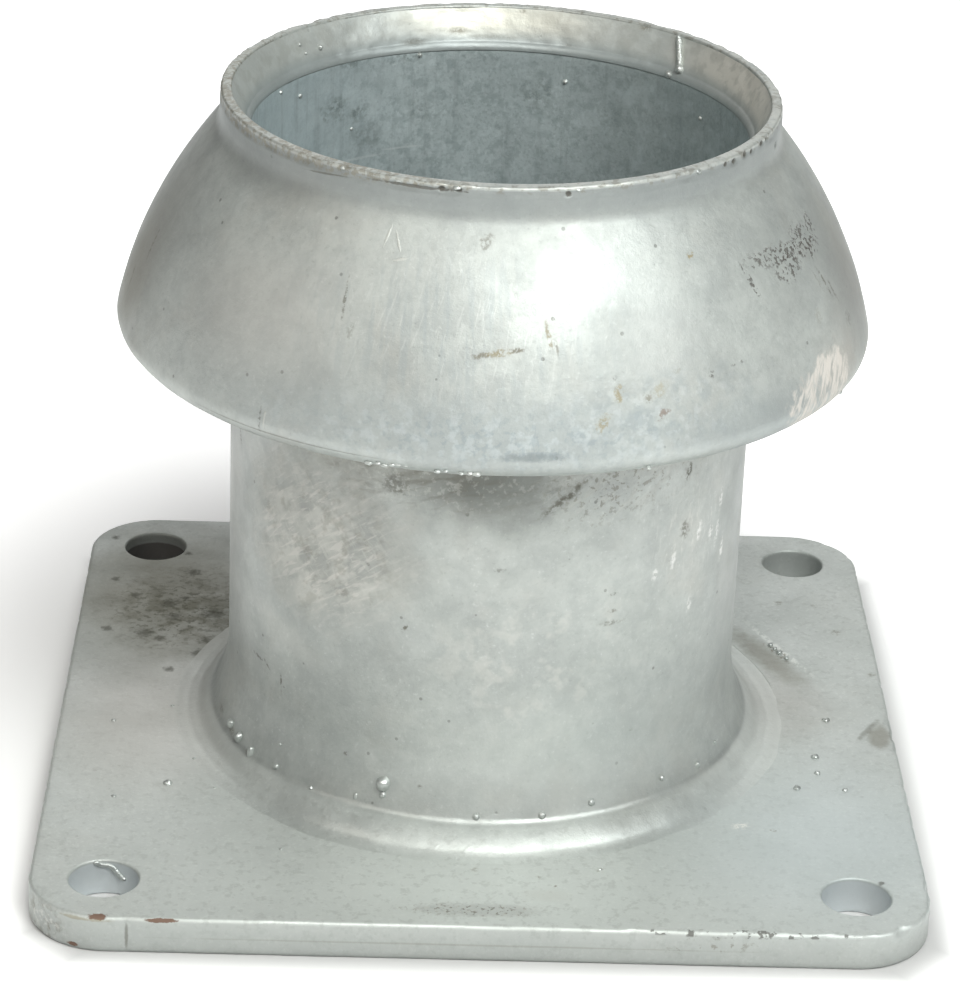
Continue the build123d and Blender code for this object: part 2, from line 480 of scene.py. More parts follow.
def top_lift(places):
    """The plate's top face: a faint waviness, a groove, a curved ridge, a dent and a scuff."""
    groove = (58.0, 51.5), (78.6, 11.0)
    hook_x, hook_y = 73.0, 49.5  # centre of the curved ridge
    dent_tip, dent_back, dent_front = (80.3, -13.0), (90.5, 3.0), (90.5, -17.5)
    x, y, _ = places.T
    lift = 0.09 * uneven(places, 38, seed=13) + 0.035 * uneven(places, 9, seed=14)
    lift += 0.012 * uneven(places, 3, seed=15) - 0.06
    left, share = off_line(places, *groove)
    reach = between(share, 0.02, 0.97, 0.06)
    lift -= reach * 0.42 * np.where(left < 0, np.exp(left / 7.0), 0)
    lift += reach * 0.06 * np.exp(-((left - 0.5) / 0.8) ** 2)
    away = np.hypot(x - hook_x, y - hook_y)
    hook = between(np.degrees(np.arctan2(y - hook_y, x - hook_x)), 105, 178, 8)
    lift += 0.12 * hook * np.exp(-((away - 13.5) / 0.9) ** 2)
    back, _ = off_line(places, dent_tip, dent_back)
    front, _ = off_line(places, dent_front, dent_tip)
    lift -= 0.5 * np.clip(-back / 1.5, 0, 1) * np.clip(-front / 5.0, 0, 1) * (x > 70)
    scuffed = between(x, -18, 14, 3) * between(y, -86.5, -80.5, 1.5)
    return lift - 0.10 * scuffed * np.abs(uneven(places, 2.5, 2, seed=16))


def edge_push(places):
    """How far the plate's edges are worn inwards: nicks on the upper arris, a line and a notch."""
    x, y, z = places.T
    reach = PLATE_HALF - PLATE_CORNER_R
    inward = 0.10 + 0.08 * uneven(places, 20, seed=17) + 0.04 * uneven(places, 4, seed=18)
    arris = between(z, PLATE_TOP - 1.2, PLATE_TOP, 0.8)
    nicks = np.clip(uneven(places, 3.2, 3, seed=19) - 0.22, 0, 1)
    busy = 0.25 + 0.9 * between(x, 30, 80, 12) * (y < 0) + 0.3 * (x > 80)
    inward += arris * nicks * busy
    front = (y < -reach) & (np.abs(x) < reach)
    inward += 0.06 * front * np.exp(-((z - EDGE_LINE_Z) / 0.35) ** 2)
    return inward + 0.5 * front * np.exp(-((x - EDGE_NOTCH_X) / 0.45) ** 2)


def plate_relief(places):
    """The plate's points after its top face is lowered and its edges are drawn inwards."""
    moved = places.copy()
    height = places[:, 2]
    on_top = between(height, PLATE_TOP - 0.4, PLATE_TOP, 0.4)
    moved[:, 2] += np.clip(top_lift(places), -1, 0.0) * on_top
    reach = PLATE_HALF - PLATE_CORNER_R
    past = places[:, :2] - np.clip(places[:, :2], -reach, reach)
    far = np.linalg.norm(past, axis=1)
    on_edge = (far > PLATE_CORNER_R - 1.2) & (height > 0.3)
    push = np.where(on_edge, np.clip(edge_push(places), 0, 1.2), 0)
    moved[:, :2] -= past / np.maximum(far, 1e-6)[:, None] * push[:, None]
    return moved


def plate_mesh():
    """The plate's sheets joined along their borders, then moved by plate_relief."""
    vertices, faces = [], []
    for sheet, sheet_faces in plate_parts():
        first = sum(len(v) for v in vertices)
        vertices.append(sheet)
        faces += [tuple(first + k for k in face) for face in sheet_faces]
    joined = bmesh.new()
    made = [joined.verts.new(v) for v in np.concatenate(vertices)]
    for face in faces:
        joined.faces.new([made[k] for k in face])
    bmesh.ops.remove_doubles(joined, verts=joined.verts, dist=0.004)
    joined.verts.index_update()
    vertices = np.array([tuple(v.co) for v in joined.verts])
    faces = [tuple(v.index for v in face.verts) for face in joined.faces]
    joined.free()
    return plate_relief(vertices), faces


# ---- drops of zinc ----
def drop(place, normal, width, rise, rng, length=1.0):
    """Vertices and faces of one frozen drop: a lumpy dome, partly sunk in the surface."""
    ball = bmesh.new()
    bmesh.ops.create_icosphere(ball, subdivisions=3, radius=1.0)
    normal = Vector(normal).normalized()
    side = normal.cross(Vector((0, 0, 1)))
    side = side.normalized() if side.length > 0.1 else Vector((1, 0, 0))
    up = normal.cross(side)
    shift = Vector((rng.uniform(0, 50), rng.uniform(0, 50), rng.uniform(0, 50)))
    vertices = []
    for v in ball.verts:
        size = 1 + 0.22 * noise.noise(v.co * 1.4 + shift)
        local = v.co * size
        sag = local.x * side * width / 2 + local.y * up * width * length / 2
        vertices.append(tuple(Vector(place) + sag + local.z * normal * rise))
    faces = [tuple(v.index for v in face.verts) for face in ball.faces]
    ball.free()
    return vertices, faces


def drops(name, spots, finish, slot, seed):
    """One piece from many frozen drops; each spot is (place, normal, width, rise, length)."""
    rng = random.Random(seed)
    vertices, faces = [], []
    for place, normal, width, rise, length in spots:
        more, more_faces = drop(place, normal, width, rise, rng, length)
        faces += [tuple(len(vertices) + k for k in face) for face in more_faces]
        vertices += more
    return piece(name, vertices, faces, finish, slot)


def round_spot(bearing, height, radius, width, rise, length=1.0, tilt=0.0):
    """A drop on a wall round the axis: tilt is its normal's rise, and 180 faces the axis."""
    turn, lean = math.radians(bearing), math.radians(tilt)
    outward = Vector((math.sin(turn), -math.cos(turn), 0))
    normal = outward * math.cos(lean) + Vector((0, 0, math.sin(lean)))
    return outward * radius + Vector((0, 0, height)), normal, width, rise, length


def plate_spot(x, y, width, rise, length=1.0):
    """A drop on the plate's top face."""
    return Vector((x, y, PLATE_TOP - 0.15)), (0, 0, 1), width, rise, length


# ---- where things sit ----
# (bearing, height, half width) of each pit in the lip's outer edge
LIP_PITS = [
    (49.0, 148.2, 0.7), (52.0, 148.0, 0.8), (56.0, 148.4, 0.9), (58.5, 148.3, 0.7),
    (63.5, 148.4, 0.8), (66.0, 148.6, 0.7), (73.0, 145.2, 0.8), (12.0, 147.9, 0.8),
    (-9.0, 148.3, 0.7), (-12.5, 148.2, 0.8),
]


# ---- finishes ----
class Finish:
    """A zinc-coated surface: a mottled ground, then marks laid over it one by one.

    Places in it are millimetres in the object's own frame. On a wall round the axis, wall_r is its
    radius, and spots are placed on it by bearing and height.
    """

    def __init__(self, name, wall_r=None, wall_depth=1.0):
        self.material = bpy.data.materials.new(name)
        self.material.use_nodes = True
        self.tree = self.material.node_tree
        self.surface = self.tree.nodes["Principled BSDF"]
        where = self.node("TexCoord", {}, "Object")
        self.place = self.node("VectorMath", {0: where, "Scale": 1 / MM}, operation="SCALE")
        self.wall_r = wall_r
        self.wall_depth = wall_depth
        self.x, self.y, self.z = self.split(self.place)
        self.lay = self.unrolled() if wall_r else self.place
        self.colour = None
        self.dull = 0.0
        self.height = None

    def node(self, kind, inputs, output=0, **settings):
        """Adds a node, sets or links its inputs, and returns one of its outputs."""
        made = self.tree.nodes.new("ShaderNode" + kind)
        for key, value in settings.items():
            setattr(made, key, value)
        for key, value in inputs.items():
            if isinstance(value, bpy.types.NodeSocket):
                self.tree.links.new(value, made.inputs[key])
            else:
                made.inputs[key].default_value = value
        return made.outputs[output]

    def split(self, vector):
        """The three numbers of a vector."""
        return [self.node("SeparateXYZ", {0: vector}, k) for k in range(3)]

    def math(self, operation, a, b=0.0, clamp=False):
        return self.node("Math", {0: a, 1: b}, operation=operation, use_clamp=clamp)

    def vector(self, operation, a, b=(0.0, 0.0, 0.0), output=0):
        return self.node("VectorMath", {0: a, 1: b}, output, operation=operation)

    def length(self, vector):
        return self.vector("LENGTH", vector, output="Value")

    def within(self, place, size, centre=(0.0, 0.0, 0.0), tilt=0.0):
        """A place seen from a centre, in sizes of an ellipsoid that is turned by tilt degrees."""
        turned = (0, 0, math.radians(tilt))
        inputs = {"Vector": place, "Location": centre, "Rotation": turned, "Scale": size}
        return self.node("Mapping", inputs, vector_type="TEXTURE")

    def ramp(self, value, low, high, start=0.0, end=1.0):
        """Smooth step: start below low, end above high. A low above high turns it round."""
        inputs = {0: value, 1: low, 2: high, 3: start, 4: end}
        return self.node("MapRange", inputs, interpolation_type="SMOOTHSTEP")

    def noise(self, size, detail=3.0, rough=0.55, twist=0.0, on=None, shift=0.0):
        """Noise from 0 to 1 with features about size mm across."""
        where = self.place if on is None else on
        if shift:
            where = self.vector("ADD", where, (shift, shift, shift))
        inputs = {"Vector": where, "Scale": 1 / size, "Detail": detail, "Roughness": rough,
                  "Distortion": twist}
        return self.node("TexNoise", inputs)

    def strokes(self, size, tilt=0.0, low=0.5, high=0.62, shift=0.0):
        """Streaky mask: size is (along, up, through) of one streak, turned by tilt degrees."""
        along = self.within(self.lay, size, tilt=tilt)
        return self.ramp(self.noise(1.0, 4.0, 0.6, 0.5, on=along, shift=shift), low, high)

    def grains(self, size, low, high, shift=0.0):
        """Mask of grains about size mm across: a higher low leaves fewer."""
        return self.ramp(self.noise(size, 3.0, 0.6, shift=shift), low, high)

    def mix(self, share, a, b):
        """Blends two colours: inputs 6 and 7 and output 2 are the node's colour sockets."""
        return self.node("Mix", {0: share, 6: a, 7: b}, 2, data_type="RGBA")

    def from_axis(self):
        return self.length(self.vector("MULTIPLY", self.place, (1.0, 1.0, 0.0)))

    def unrolled(self):
        """(distance round from the front, height, distance from the axis)."""
        bearing = self.math("ARCTAN2", self.x, self.math("MULTIPLY", self.y, -1.0))
        around = self.math("MULTIPLY", bearing, self.wall_r)
        return self.node("CombineXYZ", {0: around, 1: self.z, 2: self.from_axis()})

    def spot(self, bearing, height, along, up, tilt=0.0, **more):
        """A patch on the wall: along and up are its half sizes, and tilt lifts its right end."""
        centre = (math.radians(bearing) * self.wall_r, height, self.wall_r)
        return self.patch(centre, (along, up, self.wall_depth), tilt, on=self.lay, **more)

    def patch(self, centre, half, tilt=0.0, soft=0.5, ragged=0.0, grain=3.0, on=None):
        """1 inside an ellipsoid, 0 outside: soft is the share that fades, ragged breaks it up."""
        where = self.place if on is None else on
        away = self.length(self.within(where, half, centre, tilt))
        if ragged:
            wander = self.math("MULTIPLY_ADD", self.noise(grain, 4.0, 0.65), 2 * ragged)
            wander.node.inputs[2].default_value = -ragged
            away = self.math("ADD", away, wander)
        return self.ramp(away, 1.0 - soft, 1.0, 1.0, 0.0)

    def times(self, *masks):
        product = masks[0]
        for mask in masks[1:]:
            product = self.math("MULTIPLY", product, mask)
        return product

    def mark(self, mask, colour, amount=1.0, dull=0.0, rise=0.0):
        """Lays a colour where mask is 1; dull takes away shine, and rise lifts it in mm."""
        share = mask if amount == 1.0 else self.math("MULTIPLY", mask, amount)
        self.colour = self.mix(share, self.colour, (*colour, 1.0))
        if dull:
            more = self.math("MULTIPLY", mask, dull)
            self.dull = self.math("ADD", self.dull, more, clamp=True)
        if rise:
            self.height = self.math("ADD", self.height, self.math("MULTIPLY", mask, rise))

    def flecks(self, mask, size, low, high, shift, *colour_and_more, **more):
        """Marks the grains that lie inside a mask."""
        self.mark(self.times(mask, self.grains(size, low, high, shift)), *colour_and_more, **more)

    def streaks(self, mask, size, tilt, low, high, shift, *colour_and_more, **more):
        """Marks the strokes that lie inside a mask."""
        lines = self.strokes(size, tilt, low, high, shift)
        self.mark(self.times(mask, lines), *colour_and_more, **more)

    def blush(self, bearing, height, along, up, *colour_and_more, **more):
        """Marks a soft cloud on the wall."""
        self.mark(self.spot(bearing, height, along, up, soft=0.9), *colour_and_more, **more)

    def done(self, metal=0.58, rough=(0.40, 0.56)):
        """Joins the ground and its marks to the shader."""
        shine = self.math("SUBTRACT", 1.0, self.dull)
        cloud = self.ramp(self.noise(14, 4.0, 0.6, shift=31.0), 0.3, 0.7, *rough)
        self.link(self.colour, "Base Color")
        self.link(self.math("MULTIPLY", shine, metal), "Metallic")
        worn = self.math("MULTIPLY", self.dull, 0.3)
        self.link(self.math("ADD", cloud, worn, clamp=True), "Roughness")
        bump = self.node("Bump", {"Height": self.height, "Distance": MM, "Strength": 1.0})
        self.link(bump, "Normal")
        return self.material

    def link(self, value, socket):
        self.tree.links.new(value, self.surface.inputs[socket])


ZINC_PALE = (0.490, 0.518, 0.496)
ZINC_DEEP = (0.375, 0.398, 0.388)
TUBE_PALE = (0.455, 0.482, 0.461)
TUBE_DEEP = (0.345, 0.366, 0.357)
PLATE_PALE = (0.560, 0.590, 0.568)
ZINC_WARM = (0.420, 0.405, 0.365)
ZINC_BLUE = (0.330, 0.370, 0.380)
RUST = (0.14, 0.065, 0.035)
SOIL = (0.095, 0.088, 0.062)
PIT = (0.070, 0.066, 0.056)
CHALK = (0.550, 0.560, 0.524)
OCHRE = (0.275, 0.235, 0.135)
UMBER = (0.185, 0.170, 0.130)


def zinc_ground(name, wall_r=None, wall_depth=1.0, pale=ZINC_PALE, deep=ZINC_DEEP):
    """Clouded zinc: broad tone, finer mottle, pin specks and a sandy grain."""
    f = Finish(name, wall_r, wall_depth)
    broad = f.ramp(f.noise(30, 3.0, 0.5), 0.34, 0.66, 0.0, 0.4)
    mottle = f.ramp(f.noise(5.0, 5.0, 0.7, 0.15, shift=9.0), 0.38, 0.66)
    blend = f.math("ADD", broad, f.math("MULTIPLY", mottle, 0.45))
    f.colour = f.mix(blend, (*pale, 1.0), (*deep, 1.0))
    f.mark(f.ramp(f.noise(22, 3.0, 0.6, shift=47.0), 0.5, 0.72), ZINC_WARM, 0.3)
    fine = f.noise(0.9, 3.0, 0.7, shift=5.0)
    f.colour = f.mix(f.ramp(fine, 0.56, 0.8, 0.0, 0.42), f.colour, (0.66, 0.69, 0.67, 1.0))
    f.colour = f.mix(f.ramp(fine, 0.44, 0.2, 0.0, 0.48), f.colour, (0.26, 0.275, 0.265, 1.0))
    f.mark(f.grains(2.1, 0.44, 0.64, 19.0), (0.34, 0.36, 0.35), 0.22)
    grain = f.math("MULTIPLY", fine, 0.035)
    f.height = f.math("ADD", grain, f.math("MULTIPLY", mottle, 0.03))
    pins = f.node("TexVoronoi", {"Vector": f.place, "Scale": 0.16, "Randomness": 1.0}, "Distance")
    f.mark(f.ramp(pins, 0.075, 0.045), PIT, 0.45, rise=-0.03)
    return f


def plate_tone_light_and_shade(f):
    """The flat zinc of the plate is paler; it begins where the foot weld runs out onto it."""
    low_down = f.ramp(f.z, 20.0, 15.0)
    flat = f.times(low_down, f.ramp(f.from_axis(), FOOT_CREST[0] - 0.6, FOOT_CREST[0] + 2.0))
    f.mark(flat, PLATE_PALE, 0.6)
    # painted light on the front of the plate
    ahead = f.patch((0, -82, 8), (110, 34, 6), soft=0.9)
    f.mark(f.times(flat, ahead), (0.72, 0.76, 0.73), 0.45)
    f.flecks(flat, 1.6, 0.52, 0.66, 137, (0.34, 0.36, 0.34), 0.28)
    f.flecks(flat, 0.9, 0.54, 0.66, 139, (0.72, 0.75, 0.72), 0.20)
    # painted light: warm on the plate's left, cool on its right
    warm_light_left = f.patch((-72, -8, 8), (30, 48, 7), soft=0.9)
    f.mark(f.times(flat, warm_light_left), (0.62, 0.585, 0.545), 0.40)
    cool_light_right = f.patch((70, -55, 8), (48, 50, 7), soft=0.9)
    f.mark(f.times(flat, cool_light_right), (0.56, 0.64, 0.66), 0.40)
    behind = f.patch((-70, 50, 8), (36, 48, 7), ragged=0.2, grain=12, soft=0.9)
    f.mark(behind, (0.27, 0.255, 0.19), 0.62, 0.3)
    # painted shade on the lowered side of the groove and between it and the tube
    groove_shade = f.patch((64.5, 28, 8), (22, 5.5, 5), -63, soft=0.8, ragged=0.4, grain=3)
    f.mark(groove_shade, UMBER, 0.55, 0.3)
    groove_shade = f.patch((65, 4, 8), (17, 24, 6), soft=0.9, ragged=0.3, grain=8)
    f.mark(groove_shade, (0.33, 0.30, 0.27), 0.34)


def painted_light_at_foot(f):
    """Painted light makes the zinc a little paler round the front of the tube's foot, over tube
    and weld alike.
    """
    f.mark(f.patch((18, -50, 24), (56, 48, 22), soft=0.9), (0.62, 0.65, 0.63), 0.30)


def wipe_marks(f):
    """Pale strokes over a dull patch at the tube's left."""
    smear = f.spot(-40, 68, 27, 25, soft=0.7, ragged=0.3, grain=9)
    f.mark(smear, (0.29, 0.285, 0.265), 0.42, dull=0.3)
    f.streaks(smear, (15, 6, 3), 38, 0.47, 0.60, 23, CHALK, 0.50, dull=0.4)
    f.flecks(smear, 9, 0.46, 0.60, 43, CHALK, 0.45, dull=0.4)
    f.streaks(smear, (8, 3.0, 3), 30, 0.46, 0.60, 0, CHALK, 0.45, dull=0.4)
    f.streaks(smear, (5, 1.1, 3), 36, 0.52, 0.62, 17, (0.62, 0.61, 0.575), 0.55)
    f.streaks(smear, (4, 1.2, 3), -52, 0.54, 0.64, 53, CHALK, 0.40)
    f.flecks(smear, 3.5, 0.52, 0.66, 59, UMBER, 0.30)
    f.mark(f.spot(-50, 43, 18, 5, -14, soft=0.8, ragged=0.5, grain=6), CHALK, 0.25)


def under_skirt(f):
    """Painted shade and dirt high on the tube, and painted shade on its sides."""
    # painted shadow of the skirt on the top of the tube
    shade = f.spot(-1, 88, 24, 17, soft=0.95, ragged=0.2, grain=8)
    f.mark(shade, (0.14, 0.15, 0.137), 0.85)
    # painted shade on the tube's left and right sides
    f.blush(-79, 60, 17, 55, (0.29, 0.30, 0.285), 0.50)
    f.blush(73, 60, 19, 55, (0.31, 0.33, 0.32), 0.45)
    # darker bands right under the skirt: painted shade with a dirt tint
    f.mark(f.spot(-30, 91, 40, 11, soft=0.9, ragged=0.3, grain=6), (0.20, 0.195, 0.16), 0.55)
    f.mark(f.spot(40, 90, 36, 7, soft=0.9, ragged=0.2, grain=6), (0.24, 0.235, 0.21), 0.40)
    under = f.spot(-14, 88, 42, 12, soft=0.8, ragged=0.3, grain=8)
    f.streaks(under, (5, 1.6, 3), 12, 0.46, 0.64, 3, UMBER, 0.30, dull=0.4)
    f.flecks(under, 1.4, 0.54, 0.64, 19, CHALK, 0.30)
    beside = f.spot(30, 85, 26, 13, soft=0.8, ragged=0.3, grain=8)
    f.streaks(beside, (7, 1.6, 3), 36, 0.50, 0.64, 29, CHALK, 0.35, dull=0.4)
    f.flecks(beside, 1.2, 0.56, 0.63, 37, UMBER, 0.45, dull=0.4)


def tube_specks(f):
    """A long scratch, small dark marks, and pale crusts at the tube's right."""
    speckle = f.grains(0.9, 0.38, 0.56, 7.0)
    scratch = f.spot(15, 83, 10, 1.2, 38, soft=0.9, ragged=0.6, grain=2)
    f.mark(f.times(scratch, speckle), SOIL, 0.7, 0.4)
    for bearing, height, along, up, tilt, amount in (
        (-21, 84.5, 3.4, 3.0, 0, 0.45), (47, 83, 1.0, 2.6, -20, 0.8), (49, 87, 1.6, 1.6, 30, 0.6),
        (46.8, 70, 1.8, 3.0, 10, 0.6), (-17.8, 53.5, 0.6, 1.9, -30, 0.8),
        (-60, 33.4, 2.6, 0.5, -6, 0.7), (-56, 33.2, 2.0, 0.4, -35, 0.6),
        (-50.5, 31, 0.4, 3.0, 0, 0.7), (-30.5, 21.9, 0.8, 0.7, 0, 0.8),
        (27.7, 60.4, 1.1, 0.5, 0, 0.6), (27.5, 56.6, 1.5, 0.6, 0, 0.7),
        (27.5, 54, 3.8, 0.8, 0, 0.5), (34, 28, 0.7, 0.6, 0, 0.5), (-71, 79, 0.5, 2.7, 12, 0.6),
        (2, 68, 1.8, 0.6, 0, 0.4),
    ):
        spot = f.spot(bearing, height, along, up, tilt, soft=0.7, ragged=0.8, grain=0.9)
        f.mark(f.times(spot, speckle), SOIL, amount, 0.5)
    for bearing, height, up in (
        (60, 65, 4.2), (57, 66, 2.6), (52, 68, 2.8), (43.5, 64.5, 3.0), (38.2, 62.2, 1.8),
        (50, 52, 2.8), (63, 60, 4.0), (61, 72, 3.0),
    ):
        crust = f.spot(bearing, height, 1.1, up, -10, soft=0.9, ragged=0.9, grain=1.1)
        f.mark(f.times(crust, speckle), (0.70, 0.71, 0.69), 0.85, rise=0.05)
    f.streaks(f.spot(50, 70, 18, 16, soft=0.8), (0.9, 5, 2), -8, 0.54, 0.66, 0, CHALK, 0.55)
    f.flecks(f.spot(12, 46, 36, 26, soft=0.8), 5.5, 0.50, 0.64, 11, CHALK, 0.45)


def tube_finish():
    """The tube: pale wipe marks at its left, painted shade and dirt under the skirt, painted shade
    on its sides, scratches at its right.
    """
    f = zinc_ground("galvanised_tube", TUBE_R, 2.5, TUBE_PALE, TUBE_DEEP)
    wipe_marks(f)
    under_skirt(f)
    tube_specks(f)
    painted_light_at_foot(f)
    bore_marks(f)
    return f.done()


def bore_marks(f):
    """Inside the tube: darker, bluer zinc with streaks down the wall and stained blotches."""
    inside = f.ramp(f.split(f.lay)[2], BORE_R + 1.2, BORE_R + 0.4)
    f.mark(inside, (0.50, 0.575, 0.585), 0.80)
    f.flecks(inside, 2.6, 0.45, 0.63, 67, (0.24, 0.29, 0.295), 0.38)
    f.flecks(inside, 0.7, 0.50, 0.64, 85, (0.27, 0.32, 0.33), 0.40)
    f.flecks(inside, 1.1, 0.52, 0.64, 73, (0.60, 0.66, 0.67), 0.40)
    # painted light on the bore's left wall and painted shade on its right wall
    painted_light_left = f.patch((-40, 18, 130), (38, 44, 60), soft=0.8)
    f.mark(f.times(inside, painted_light_left), (0.56, 0.65, 0.68), 0.55)
    painted_shade_right = f.patch((36, 28, 130), (34, 40, 60), soft=0.9)
    f.mark(f.times(inside, painted_shade_right), (0.26, 0.28, 0.27), 0.42)
    streaks = f.ramp(f.noise(1.0, 4.0, 0.65, on=f.within(f.place, (2.4, 2.4, 34))), 0.5, 0.68)
    f.mark(f.times(inside, streaks), (0.24, 0.275, 0.28), 0.30)
    f.flecks(inside, 6.0, 0.50, 0.66, 61, (0.60, 0.67, 0.68), 0.30)
    for place, half, amount in (
        ((-34, 37, 131), (5, 5, 3.6), 0.55), ((-29.5, 41, 129), (4, 4, 3), 0.55),
        ((-31, 40, 140.5), (9, 6, 1.6), 0.45), ((-18, 47, 140.6), (5, 4, 2.2), 0.6),
        ((-16, 47.8, 127), (4, 4, 4), 0.35), ((9, 49.5, 131), (6, 4, 5), 0.35),
        ((-28, 42, 123), (6, 6, 4), 0.30), ((24, 44, 128), (5, 5, 6), 0.25),
    ):
        blotch = f.patch(place, half, soft=0.9, ragged=0.9, grain=2.4)
        f.flecks(blotch, 1.3, 0.40, 0.58, 79, (0.16, 0.19, 0.18), 1.2 * amount)
    for place, half in (((-28.7, 41.4, 118.5), (8, 8, 0.35)), ((-20.2, 46.2, 119.4), (7, 7, 0.3))):
        f.mark(f.patch(place, half, ragged=0.8, grain=1.5), (0.66, 0.70, 0.70), 0.45)


def neck_shade_and_lip_tone(f):
    """Painted shade darkens the neck; the lip is pale and flecked, and worn at the left."""
    height = f.z
    neck = f.times(f.ramp(height, 139.5, 146.0), f.ramp(height, 148.9, 148.3))
    # painted shade in the concave neck below the lip
    f.mark(neck, (0.20, 0.22, 0.22), 0.68)
    lip = f.ramp(height, 148.4, 149.0)
    f.flecks(lip, 2.5, 0.40, 0.60, 71, CHALK, 0.45)
    edge = f.ramp(height, 147.6, 148.4)
    f.flecks(edge, 1.5, 0.52, 0.62, 75, UMBER, 0.45)
    worn = f.spot(-62, 148.9, 85, 2.2, soft=0.4)
    f.flecks(worn, 1.2, 0.44, 0.58, 77, (0.24, 0.22, 0.17), 0.60)


def ball_tone_light_and_shade(f):
    """The ball's broad tones: bluish low down, dull ochre and painted shade at both sides, painted
    light in front, brushed in front.
    """
    lower = f.spot(0, 106, 66, 10, soft=0.9)
    f.mark(lower, ZINC_BLUE, 0.45)
    f.flecks(lower, 2.6, 0.50, 0.62, 83, (0.60, 0.66, 0.68), 0.28)
    f.flecks(lower, 1.5, 0.50, 0.64, 89, (0.26, 0.31, 0.33), 0.38)
    f.mark(f.spot(5, 103.2, 10, 1.3, soft=0.8, ragged=0.6, grain=1.2), (0.16, 0.19, 0.20), 0.5)
    f.mark(f.spot(-80, 113, 14, 15, soft=0.8, ragged=0.4, grain=5), OCHRE, 0.28, dull=0.3)
    f.mark(f.spot(80, 124, 9, 16, soft=0.8, ragged=0.4, grain=5), OCHRE, 0.14, dull=0.2)
    # painted shade on the ball's left and right sides
    f.blush(-79, 118, 25, 26, (0.24, 0.24, 0.22), 0.70)
    f.blush(79, 116, 25, 26, (0.25, 0.25, 0.235), 0.72)
    f.blush(46, 102, 34, 10, (0.27, 0.30, 0.305), 0.55)
    # painted light: paler clouds at the front left and to the right of the front
    f.blush(-42, 122, 32, 17, (0.60, 0.585, 0.55), 0.35)
    f.blush(26, 121, 15, 14, (0.58, 0.60, 0.58), 0.35)
    # painted shade low on the neck at the left
    f.blush(-55, 143, 40, 6, (0.22, 0.23, 0.225), 0.40)
    mottled = f.spot(24, 110, 34, 12, soft=0.9)
    f.flecks(mottled, 4.0, 0.46, 0.60, 29, (0.27, 0.31, 0.33), 0.38)
    f.flecks(mottled, 1.8, 0.52, 0.62, 27, (0.60, 0.64, 0.64), 0.28)
    brushed = f.spot(-8, 124, 48, 20, soft=0.8)
    f.streaks(brushed, (1.6, 13, 50), 4, 0.46, 0.64, 33, ZINC_BLUE, 0.42)
    f.streaks(brushed, (0.8, 6, 50), -12, 0.56, 0.68, 39, (0.62, 0.64, 0.62), 0.25)


def chalky_patch(f):
    """A chalky patch low on the ball's right, streaked two ways, with a brown edge."""
    chalky = f.spot(57, 103.5, 13.5, 7.2, 8, soft=0.25, ragged=0.45, grain=2.4)
    f.mark(f.spot(64, 106, 15, 8, soft=0.9, ragged=0.4, grain=3), (0.36, 0.32, 0.28), 0.45, 0.4)
    f.streaks(chalky, (1.0, 5.0, 50), -35, 0.40, 0.58, 0, (0.60, 0.565, 0.52), 0.75, 0.6)
    f.streaks(chalky, (1.2, 4.0, 50), 20, 0.46, 0.62, 13, (0.50, 0.47, 0.43), 0.6, 0.4)


def ball_specks(f):
    """Rust and soil spots on the ball, and four pale scratches."""
    speckle = f.grains(0.8, 0.38, 0.56, 7.0)
    for bearing, height, along, up, tilt, colour, amount in (
        (17.2, 116.8, 0.5, 0.5, 0, PIT, 0.8), (17.5, 114, 1.0, 1.7, 0, OCHRE, 0.75),
        (15.0, 108.8, 1.9, 1.2, 40, OCHRE, 0.7), (22.0, 112.4, 0.8, 1.1, 20, UMBER, 0.7),
        (24.1, 113.8, 1.7, 1.2, 30, OCHRE, 0.45), (24.3, 109.4, 1.6, 0.9, 30, RUST, 0.6),
        (-3.0, 121.0, 2.2, 0.6, 8, UMBER, 0.8), (-0.5, 121.5, 2.6, 0.7, 6, OCHRE, 0.75),
        (2.4, 122.1, 1.8, 0.5, 6, UMBER, 0.8), (7.2, 124.6, 0.5, 3.0, 14, OCHRE, 0.6),
        (8.4, 122.4, 0.4, 1.6, 14, UMBER, 0.5), (34.6, 134.9, 1.3, 0.6, 25, OCHRE, 0.9),
        (-3.3, 139.3, 1.9, 1.3, 30, UMBER, 0.45), (33.3, 114.6, 0.9, 0.7, 0, PIT, 0.75),
        (37.5, 115.2, 0.8, 0.35, 0, PIT, 0.6), (39.4, 115.4, 0.5, 0.35, 0, PIT, 0.6),
        (-26.2, 127.2, 0.4, 3.4, 8, SOIL, 0.65), (-24.2, 122.5, 0.9, 1.5, -20, SOIL, 0.4),
        (-36.2, 103.2, 0.3, 2.4, 0, PIT, 0.55), (-76, 120, 0.5, 3.4, 6, SOIL, 0.5),
        (-80, 112, 0.5, 3.0, 6, SOIL, 0.35), (65.6, 121.4, 0.5, 3.6, 24, SOIL, 0.7),
        (67.8, 118.6, 0.5, 2.6, 24, SOIL, 0.6), (63.5, 122.3, 0.4, 2.2, 24, SOIL, 0.5),
        (70.5, 112, 1.6, 1.6, 0, SOIL, 0.35), (60, 117, 1.4, 1.4, 0, UMBER, 0.4),
        (-30.6, 98.9, 4.0, 0.5, 0, UMBER, 0.4), (27.5, 116.5, 1.0, 0.6, 0, UMBER, 0.35),
    ):
        along, up = 1.25 * along, 1.25 * up
        spot = f.spot(bearing, height, along, up, tilt, soft=0.7, ragged=0.9, grain=1.0)
        f.mark(f.times(spot, speckle), colour, amount, 0.5)
    for bearing, height, up, tilt in (
        (-21.6, 138.6, 2.0, 12), (-19.4, 138.0, 2.4, -34), (-18.5, 135.2, 2.6, 78),
        (-35.4, 103.3, 2.2, 0),
    ):
        scratch = f.spot(bearing, height, 0.3, up, -tilt, ragged=0.8, grain=0.7)
        f.mark(scratch, CHALK, 0.6, rise=0.04)


